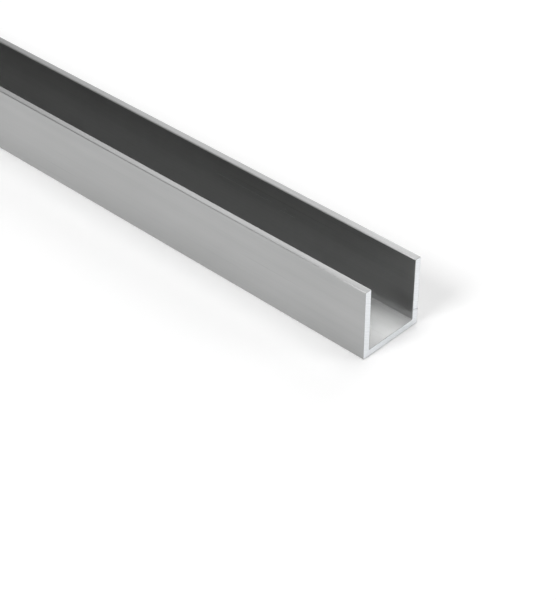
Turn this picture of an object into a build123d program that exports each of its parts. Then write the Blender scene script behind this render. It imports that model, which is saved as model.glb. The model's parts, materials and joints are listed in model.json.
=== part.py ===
from build123d import *

import os

# Equal-leg aluminium U channel: one straight length of extruded stock, sawn square at both ends.
# The channel lies on its web with its open side up. Its length runs along X, its width along Y and
# its height along Z. The origin is the middle of the web's outer face, on which the channel rests.
# All sizes are in millimetres.

# Length of the stock, and the outside of its section
LENGTH = 1000.0
OUTER_WIDTH = 20.0  # across the outer faces of the two flanges
OUTER_HEIGHT = 20.0  # from the web's outer face to the flange tips

# Wall thicknesses
WEB_THICKNESS = 2.0
FLANGE_THICKNESS = 2.0

# Rounding that the extrusion die gives the long edges
HEEL_RADIUS = 0.35  # outer edges, where the flanges meet the web
ROOT_RADIUS = 0.3  # inner corners at the bottom of the slot
TIP_RADIUS = 0.3  # both edges of each flange tip

# Narrow bevel left where the sawn ends are deburred
DEBURR = 0.1

slot_width = OUTER_WIDTH - 2 * FLANGE_THICKNESS
slot_depth = OUTER_HEIGHT - WEB_THICKNESS

with BuildPart() as u_channel:
    # The section across the length: a square block with a slot cut down from its top edge
    with BuildSketch(Plane.YZ) as section:
        Rectangle(OUTER_WIDTH, OUTER_HEIGHT, align=(Align.CENTER, Align.MIN))
        with Locations((0, OUTER_HEIGHT)):
            Rectangle(slot_width, slot_depth, align=(Align.CENTER, Align.MAX), mode=Mode.SUBTRACT)
        # The corners come in three rows, from the bottom of the section to its top
        heels, roots, tips = section.vertices().group_by(Axis.Y)
        fillet(heels, radius=HEEL_RADIUS)
        fillet(roots, radius=ROOT_RADIUS)
        fillet(tips, radius=TIP_RADIUS)

    # The stock runs the same distance each way from the section
    extrude(amount=LENGTH / 2, both=True)

    # Deburr all round the outline of both sawn ends
    sawn_ends = u_channel.faces().filter_by(Axis.X)
    chamfer(sawn_ends.edges(), length=DEBURR)

os.makedirs("parts", exist_ok=True)
u_channel.part.label = "u_channel"
export_step(u_channel.part, "parts/u_channel.step")
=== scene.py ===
import json
import math
import random

import bmesh
import bpy
from mathutils import Matrix, Vector


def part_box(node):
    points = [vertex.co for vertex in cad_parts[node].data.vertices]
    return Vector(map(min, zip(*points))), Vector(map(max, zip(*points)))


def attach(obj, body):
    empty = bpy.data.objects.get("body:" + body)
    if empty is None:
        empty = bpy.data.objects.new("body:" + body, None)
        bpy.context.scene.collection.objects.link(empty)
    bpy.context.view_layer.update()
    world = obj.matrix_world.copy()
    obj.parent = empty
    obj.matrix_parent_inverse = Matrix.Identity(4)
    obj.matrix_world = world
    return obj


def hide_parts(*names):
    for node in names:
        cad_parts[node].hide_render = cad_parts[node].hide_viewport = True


# Looks of a length of aluminium U channel: the same section as the solid, with its true edge rounding,
# die lines and sawn ends. All sizes are in metres, in the solid's own frame.

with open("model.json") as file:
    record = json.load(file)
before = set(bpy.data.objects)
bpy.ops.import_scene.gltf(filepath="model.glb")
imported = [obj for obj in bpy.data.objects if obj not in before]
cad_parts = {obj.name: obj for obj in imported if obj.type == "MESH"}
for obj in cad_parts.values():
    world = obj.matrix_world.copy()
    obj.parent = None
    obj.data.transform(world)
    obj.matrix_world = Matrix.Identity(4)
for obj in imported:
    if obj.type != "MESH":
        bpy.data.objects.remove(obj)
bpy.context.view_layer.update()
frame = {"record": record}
mounts = {mount["name"]: mount for mount in frame["record"]["mounts"]}

# The section and the length, from the solid
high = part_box("u_channel")[1]
half_length = high.x
half_width = high.y
height = high.z
web_thickness = mounts["web_inner_face"]["pos_m"][2]
slot_half_width = mounts["slot_face_plus_y"]["pos_m"][1]

# Rounding of the long edges, as in the solid
HEEL_RADIUS = 0.00035
ROOT_RADIUS = 0.0003
TIP_RADIUS = 0.0003
ARC_STEPS = 8

# Deburred edge of the sawn ends
DEBURR = 0.0001
DEBURR_STEPS = 3

# Faint lines that the die draws along the faces
DIE_LINE_SPACING = 0.0003
DIE_LINE_DEPTH = 0.0000025
DIE_LINE_SEED = 3
RING_SPACING = 0.025

# Marks that the saw leaves across the ends. The blade's centre lies this far off, at this lean from upright.
SAW_LINE_SPACING = 0.0004
SAW_LINE_DEPTH = 0.00001
SAW_LINE_SEED = 7
SAW_LINE_LEAN = math.radians(24)
BLADE_REACH = 0.15

# A point counts as on a saw line from this share of the spacing below it to this share above it
BELOW_LINE = 0.0001
ABOVE_LINE = 0.01

# How far, in metres, a point may lie from the plane of a cut and still be on it
CUT_TOLERANCE = 1e-8

# Two nicks across the end of the far flange: where they are in Y and Z, and how deep at the slot.
# They lose this share of that depth by the flange's outer edge.
NICKS = [(0.009, 0.0047, 0.00045), (0.009, 0.0069, 0.0002)]
NICK_FADE = 0.7

# The metal's colours: mill finish, and freshly cut
BODY_COLOUR = (0.427, 0.43, 0.429)
CUT_COLOUR = (0.83, 0.85, 0.87)

# Patterns of noise in the finish: cells per metre of X, Y and Z, then the noise's detail and roughness
BANDS = ((1.2, 420, 420), 1, 0.5)
STREAKS = ((5, 3200, 3200), 3, 0.7)
CLOUDS = ((18, 60, 60), 4, 0.6)
GRAIN = ((5000, 9000, 9000), 1, 0.5)
SCORES = ((14, 2300, 2300), 0, 0.5)
SPECKS = ((2600, 2600, 2600), 2, 0.5)

# The blade's arcs are noise over the distance from its centre: cells per metre, and detail
BLADE_ARC_CELLS = 4200
BLADE_ARC_DETAIL = 3

# The stretch of a noise's values over which its effect runs from one end to the other
NOISE_RANGE = (0.3, 0.7)
STREAK_RANGE = (0.25, 0.75)
SCORE_RANGE = (0.76, 0.82)

# What each pattern does to the mill finish at the two ends of its range, and its relief in metres
BAND_BRIGHTNESS = (-0.03, 0.03)
CLOUD_BRIGHTNESS = (-0.04, 0.04)
STREAK_BRIGHTNESS = (0.96, 1.04)
SCORE_DARKENING = 0.12
BAND_ROUGHNESS = (0.295, 0.335)
CLOUD_ROUGHNESS = (-0.015, 0.025)
STREAK_ROUGHNESS = (-0.03, 0.03)
RUBBED_ROUGHNESS = 0.08
GRAIN_SHARE = 0.25
FINISH_RELIEF = 0.0000025

# The same for the sawn ends
ARC_BRIGHTNESS = (0.92, 1.04)
SPECK_BRIGHTNESS = (-0.03, 0.03)
ARC_ROUGHNESS = (0.56, 0.44)
SPECK_SHARE = 0.5
CUT_RELIEF = 0.000012

# The camera, at the photograph's viewing angle. It looks at a point on the floor beside the near end.
CAMERA_AZIMUTH = math.radians(43.833)
CAMERA_ELEVATION = math.radians(37.477)
CAMERA_ROLL = math.radians(-0.232)
CAMERA_DISTANCE = 0.39568
CAMERA_LENS = 94.88
AIM_BEFORE_END = 0.03101
AIM_ASIDE = -0.00695
CAMERA_CLIP = (0.01, 50)

# Soft lamps far off: azimuth from +X towards +Y, elevation and width in degrees, and strength
LAMPS = {
    "overhead": (112, 82, 36, 0.95),
    "front": (261, 42, 26, 1.5),
    "back": (134, 37, 24, 0.19),
    "back_left_high": (109, 38, 24, 0.19),
    "back_left": (108, 23, 24, 0.31),
    "side": (36, 25, 24, 0.36),
}

# The studio is white up to the first elevation, and dims to this strength by the second
HORIZON_TOP = math.radians(6)
SKY_START = math.radians(16)
SKY = 0.2

# The floor lies this little under the web, so that the two don't share a plane
FLOOR_SIZE = 30
FLOOR_GAP = 0.00001
FLOOR_COLOUR = (0.9, 0.9, 0.9, 1)
FLOOR_ROUGHNESS = 0.9

# Light that the camera and reflections see the floor give off
FLOOR_LIFT = 0.16


def rounded_corner(corner, before, after, radius, hollow):
    """Points, outward normals and rub of the arc that rounds a right-angled corner.

    before and after are unit vectors from the corner along its two sides. Rub is how worn a point is, from
    0 to 1. In a hollow corner the metal fills the arc's outside, so the normal points at the arc's centre,
    and nothing rubs on it.
    """
    centre = corner + radius * (before + after)
    entries = []
    for step in range(ARC_STEPS + 1):
        angle = math.pi / 2 * step / ARC_STEPS
        spoke = -math.sin(angle) * before - math.cos(angle) * after
        normal = -spoke if hollow else spoke
        rub = 0 if hollow else math.sin(2 * angle)
        entries.append((centre + radius * spoke, normal, rub))
    return entries


def section_outline():
    """Points (y, z) once round the section, each with its outward normal, rub and die line's depth."""
    corners = [
        (Vector((-half_width, 0)), HEEL_RADIUS, False),
        (Vector((half_width, 0)), HEEL_RADIUS, False),
        (Vector((half_width, height)), TIP_RADIUS, False),
        (Vector((slot_half_width, height)), TIP_RADIUS, False),
        (Vector((slot_half_width, web_thickness)), ROOT_RADIUS, True),
        (Vector((-slot_half_width, web_thickness)), ROOT_RADIUS, True),
        (Vector((-slot_half_width, height)), TIP_RADIUS, False),
        (Vector((-half_width, height)), TIP_RADIUS, False),
    ]
    arcs = []
    for index, (corner, radius, hollow) in enumerate(corners):
        before = (corners[index - 1][0] - corner).normalized()
        after = (corners[(index + 1) % len(corners)][0] - corner).normalized()
        arcs.append(rounded_corner(corner, before, after, radius, hollow))

    depths = random.Random(DIE_LINE_SEED)
    outline = []
    for arc, next_arc in zip(arcs, arcs[1:] + arcs[:1]):
        outline += [(point, normal, rub, 0) for point, normal, rub in arc]
        start, normal, rub = arc[-1]
        end = next_arc[0][0]
        steps = round((end - start).length / DIE_LINE_SPACING)
        for step in range(1, steps):
            outline.append((start.lerp(end, step / steps), normal, 0, DIE_LINE_DEPTH * depths.random()))
    return outline


def ring_places():
    """Where each ring stands along the length, and how far it is drawn in from the full section."""
    rings = []
    ring_count = round(2 * (half_length - DEBURR) / RING_SPACING)
    for step in range(ring_count + 1):
        rings.append(((half_length - DEBURR) * (2 * step / ring_count - 1), 0))
    for step in range(1, DEBURR_STEPS + 1):
        angle = math.pi / 2 * step / DEBURR_STEPS
        reach = half_length - DEBURR + DEBURR * math.sin(angle)
        inset = DEBURR * (1 - math.cos(angle))
        rings.append((reach, inset))
        rings.insert(0, (-reach, inset))
    return rings


def across_saw_lines(y, z):
    """Distance of a point of an end face across the saw lines, counted in lines."""
    return (y * math.sin(SAW_LINE_LEAN) + z * math.cos(SAW_LINE_LEAN)) / SAW_LINE_SPACING


def cut_saw_lines(mesh, end):
    """Cuts an end face along the saw lines and sinks each line by its own depth."""
    direction = 1 if end.calc_center_median().x > 0 else -1
    spread = [across_saw_lines(vert.co.y, vert.co.z) for vert in end.verts]
    first = math.floor(min(spread))
    last = math.ceil(max(spread))
    across = Vector((0, math.sin(SAW_LINE_LEAN), math.cos(SAW_LINE_LEAN)))
    faces = [end]
    for line in range(first, last + 1):
        edges = {edge for face in faces for edge in face.edges}
        verts = {vert for face in faces for vert in face.verts}
        cut = bmesh.ops.bisect_plane(
            mesh, geom=faces + list(edges) + list(verts), dist=CUT_TOLERANCE,
            plane_co=line * SAW_LINE_SPACING * across, plane_no=across)
        faces = [item for item in cut["geom"] if isinstance(item, bmesh.types.BMFace)]

    chance = random.Random(SAW_LINE_SEED)
    depths = [SAW_LINE_DEPTH * chance.random() for line in range(first, last + 2)]
    nicks = {round(across_saw_lines(y, z)): depth for y, z, depth in NICKS}
    for vert in {vert for face in faces for vert in face.verts}:
        place = across_saw_lines(vert.co.y, vert.co.z)
        line = math.floor(place + BELOW_LINE)
        share = max(place - line, 0)
        depth = depths[line - first] * (1 - share) + depths[line - first + 1] * share
        if direction > 0 and vert.co.y > 0 and share < ABOVE_LINE and line in nicks:
            across_flange = (vert.co.y - slot_half_width) / (half_width - slot_half_width)
            depth = nicks[line] * (1 - NICK_FADE * across_flange)
        vert.co.x -= direction * depth


def channel_mesh():
    """The channel as rings of the section, with die lines sunk in its flats and deburred, sawn ends."""
    outline = section_outline()
    mesh = bmesh.new()
    rubbed = mesh.verts.layers.float.new("rubbed_edge")
    loops = []
    for x, inset in ring_places():
        loop = []
        for point, normal, rub, depth in outline:
            place = point - (inset + depth) * normal
            vert = mesh.verts.new((x, place.x, place.y))
            vert[rubbed] = 1 if 0 < inset < DEBURR else rub
            loop.append(vert)
        loops.append(loop)
    for loop, next_loop in zip(loops, loops[1:]):
        for index in range(len(loop)):
            quad = (loop[index - 1], loop[index], next_loop[index], next_loop[index - 1])
            face = mesh.faces.new(quad)
            face.smooth = True
    ends = [mesh.faces.new(loops[0]), mesh.faces.new(reversed(loops[-1]))]
    for end in ends:
        end.material_index = 1
        cut_saw_lines(mesh, end)
    mesh.normal_update()
    return mesh


def build_channel(materials):
    mesh = channel_mesh()
    data = bpy.data.meshes.new("aluminium_channel")
    mesh.to_mesh(data)
    mesh.free()
    for material in materials:
        data.materials.append(material)
    channel = bpy.data.objects.new("aluminium_channel", data)
    bpy.context.scene.collection.objects.link(channel)
    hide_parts("u_channel")
    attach(channel, "root")


def new_material(name):
    material = bpy.data.materials.new(name)
    material.use_nodes = True
    nodes = material.node_tree.nodes
    return material, nodes, material.node_tree.links, nodes["Principled BSDF"]


def noise(nodes, links, cells, detail, roughness):
    """Noise over the object's own coordinates, with this many cells per metre of X, Y and Z."""
    place = nodes.new("ShaderNodeTexCoord")
    mapping = nodes.new("ShaderNodeMapping")
    mapping.inputs["Scale"].default_value = cells
    texture = nodes.new("ShaderNodeTexNoise")
    texture.inputs["Scale"].default_value = 1
    texture.inputs["Detail"].default_value = detail
    texture.inputs["Roughness"].default_value = roughness
    links.new(place.outputs["Object"], mapping.inputs["Vector"])
    links.new(mapping.outputs["Vector"], texture.inputs["Vector"])
    return texture.outputs["Fac"]


def remap(nodes, links, value, source, target):
    """value carried from the range source to the range target, and held inside it."""
    node = nodes.new("ShaderNodeMapRange")
    node.inputs["From Min"].default_value, node.inputs["From Max"].default_value = source
    node.inputs["To Min"].default_value, node.inputs["To Max"].default_value = target
    links.new(value, node.inputs["Value"])
    return node.outputs["Result"]


def maths(nodes, links, operation, first, second):
    """first and second, each a number or a node's output, joined by the operation."""
    node = nodes.new("ShaderNodeMath")
    node.operation = operation
    for socket, value in zip(node.inputs, (first, second)):
        if isinstance(value, float):
            socket.default_value = value
        else:
            links.new(value, socket)
    return node.outputs["Value"]


def tint(nodes, links, shader, brightness, colour):
    """Sets the shader's base colour to colour times brightness."""
    node = nodes.new("ShaderNodeVectorMath")
    node.operation = "SCALE"
    node.inputs[0].default_value = colour
    links.new(brightness, node.inputs["Scale"])
    links.new(node.outputs["Vector"], shader.inputs["Base Color"])


def add_bump(nodes, links, shader, relief, distance):
    node = nodes.new("ShaderNodeBump")
    node.inputs["Distance"].default_value = distance
    links.new(relief, node.inputs["Height"])
    links.new(node.outputs["Normal"], shader.inputs["Normal"])


def extruded_aluminium():
    """Mill finish: fine lines along the length, in bands of slightly different sheen, and cloudy oxide."""
    material, nodes, links, shader = new_material("extruded_aluminium")
    shader.inputs["Metallic"].default_value = 1

    bands = noise(nodes, links, *BANDS)
    streaks = noise(nodes, links, *STREAKS)
    clouds = noise(nodes, links, *CLOUDS)
    grain = noise(nodes, links, *GRAIN)
    scores = noise(nodes, links, *SCORES)
    score = remap(nodes, links, scores, SCORE_RANGE, (0, 1))
    edge = nodes.new("ShaderNodeAttribute")
    edge.attribute_name = "rubbed_edge"

    # Streaks keep the brightness near 1, bands and clouds shift it, and a score darkens it
    brightness = maths(nodes, links, "ADD",
                       remap(nodes, links, bands, NOISE_RANGE, BAND_BRIGHTNESS),
                       remap(nodes, links, clouds, NOISE_RANGE, CLOUD_BRIGHTNESS))
    brightness = maths(nodes, links, "ADD", brightness,
                       remap(nodes, links, streaks, STREAK_RANGE, STREAK_BRIGHTNESS))
    brightness = maths(nodes, links, "SUBTRACT", brightness,
                       maths(nodes, links, "MULTIPLY", score, SCORE_DARKENING))
    tint(nodes, links, shader, brightness, BODY_COLOUR)

    # Bands keep the roughness at its level, clouds and streaks shift it, and a rubbed edge is rougher
    roughness = maths(nodes, links, "ADD",
                      remap(nodes, links, bands, NOISE_RANGE, BAND_ROUGHNESS),
                      remap(nodes, links, clouds, NOISE_RANGE, CLOUD_ROUGHNESS))
    roughness = maths(nodes, links, "ADD", roughness,
                      remap(nodes, links, streaks, STREAK_RANGE, STREAK_ROUGHNESS))
    roughness = maths(nodes, links, "ADD", roughness,
                      maths(nodes, links, "MULTIPLY", edge.outputs["Fac"], RUBBED_ROUGHNESS))
    links.new(roughness, shader.inputs["Roughness"])

    relief = maths(nodes, links, "ADD", streaks, maths(nodes, links, "MULTIPLY", grain, GRAIN_SHARE))
    relief = maths(nodes, links, "SUBTRACT", relief, score)
    add_bump(nodes, links, shader, relief, FINISH_RELIEF)
    return material


def sawn_aluminium():
    """A bright cut face with the blade's fine arcs across it."""
    material, nodes, links, shader = new_material("sawn_aluminium")
    shader.inputs["Metallic"].default_value = 1

    # Distance from the blade's centre, in the plane of the cut
    place = nodes.new("ShaderNodeTexCoord")
    flat = nodes.new("ShaderNodeVectorMath")
    flat.operation = "MULTIPLY"
    flat.inputs[1].default_value = (0, 1, 1)
    links.new(place.outputs["Object"], flat.inputs[0])
    reach = nodes.new("ShaderNodeVectorMath")
    reach.operation = "DISTANCE"
    centre = BLADE_REACH * Vector((0, math.sin(SAW_LINE_LEAN), math.cos(SAW_LINE_LEAN)))
    reach.inputs[1].default_value = centre
    links.new(flat.outputs["Vector"], reach.inputs[0])

    arcs = nodes.new("ShaderNodeTexNoise")
    arcs.noise_dimensions = "1D"
    arcs.inputs["Scale"].default_value = BLADE_ARC_CELLS
    arcs.inputs["Detail"].default_value = BLADE_ARC_DETAIL
    links.new(reach.outputs["Value"], arcs.inputs["W"])
    arc = arcs.outputs["Fac"]
    specks = noise(nodes, links, *SPECKS)

    brightness = maths(nodes, links, "ADD",
                       remap(nodes, links, arc, NOISE_RANGE, ARC_BRIGHTNESS),
                       remap(nodes, links, specks, NOISE_RANGE, SPECK_BRIGHTNESS))
    tint(nodes, links, shader, brightness, CUT_COLOUR)
    links.new(remap(nodes, links, arc, NOISE_RANGE, ARC_ROUGHNESS), shader.inputs["Roughness"])
    relief = maths(nodes, links, "ADD", arc, maths(nodes, links, "MULTIPLY", specks, SPECK_SHARE))
    add_bump(nodes, links, shader, relief, CUT_RELIEF)
    return material


def build_floor():
    """A plain pale floor. It looks white to the camera and in reflections, and keeps the object's shadow."""
    bpy.ops.mesh.primitive_plane_add(size=FLOOR_SIZE, location=(0, 0, -FLOOR_GAP))
    floor = bpy.context.object
    floor.name = "floor"
    material, nodes, links, shader = new_material("floor")
    shader.inputs["Base Color"].default_value = FLOOR_COLOUR
    shader.inputs["Roughness"].default_value = FLOOR_ROUGHNESS
    shader.inputs["Specular IOR Level"].default_value = 0
    shader.inputs["Emission Color"].default_value = (1, 1, 1, 1)
    ray = nodes.new("ShaderNodeLightPath")
    seen = maths(nodes, links, "MAXIMUM", ray.outputs["Is Camera Ray"], ray.outputs["Is Glossy Ray"])
    seen = maths(nodes, links, "MAXIMUM", seen, ray.outputs["Is Transmission Ray"])
    lift = maths(nodes, links, "MULTIPLY", seen, FLOOR_LIFT)
    links.new(lift, shader.inputs["Emission Strength"])
    floor.data.materials.append(material)


def build_camera():
    direction = Vector((
        math.sin(CAMERA_AZIMUTH) * math.cos(CAMERA_ELEVATION),
        -math.cos(CAMERA_AZIMUTH) * math.cos(CAMERA_ELEVATION),
        math.sin(CAMERA_ELEVATION),
    ))
    aim = Vector((half_length - AIM_BEFORE_END, AIM_ASIDE, 0))
    data = bpy.data.cameras.new("camera")
    data.lens = CAMERA_LENS
    data.clip_start, data.clip_end = CAMERA_CLIP
    camera = bpy.data.objects.new("camera", data)
    bpy.context.scene.collection.objects.link(camera)
    turn = (-direction).to_track_quat("-Z", "Y").to_matrix() @ Matrix.Rotation(CAMERA_ROLL, 3, "Z")
    camera.matrix_world = Matrix.Translation(aim + CAMERA_DISTANCE * direction) @ turn.to_4x4()
    bpy.context.scene.camera = camera


def build_lamp(name, azimuth, elevation, width, strength):
    azimuth = math.radians(azimuth)
    elevation = math.radians(elevation)
    direction = Vector((
        math.cos(azimuth) * math.cos(elevation),
        math.sin(azimuth) * math.cos(elevation),
        math.sin(elevation),
    ))
    data = bpy.data.lights.new("lamp_" + name, "SUN")
    data.angle = math.radians(width)
    data.energy = strength
    lamp = bpy.data.objects.new("lamp_" + name, data)
    lamp.rotation_euler = (-direction).to_track_quat("-Z", "Y").to_euler()
    bpy.context.scene.collection.objects.link(lamp)


def build_world():
    """A studio that is as white as the floor along the horizon, and dim overhead."""
    world = bpy.data.worlds.new("studio")
    bpy.context.scene.world = world
    world.use_nodes = True
    nodes = world.node_tree.nodes
    links = world.node_tree.links
    place = nodes.new("ShaderNodeTexCoord")
    split = nodes.new("ShaderNodeSeparateXYZ")
    links.new(place.outputs["Generated"], split.inputs["Vector"])
    rise = (math.sin(HORIZON_TOP), math.sin(SKY_START))
    strength = remap(nodes, links, split.outputs["Z"], rise, (1, SKY))
    nodes["Background"].inputs["Color"].default_value = (1, 1, 1, 1)
    links.new(strength, nodes["Background"].inputs["Strength"])


build_camera()
build_world()
for name, settings in LAMPS.items():
    build_lamp(name, *settings)
build_floor()
build_channel([extruded_aluminium(), sawn_aluminium()])

bpy.context.scene.view_settings.view_transform = "Standard"
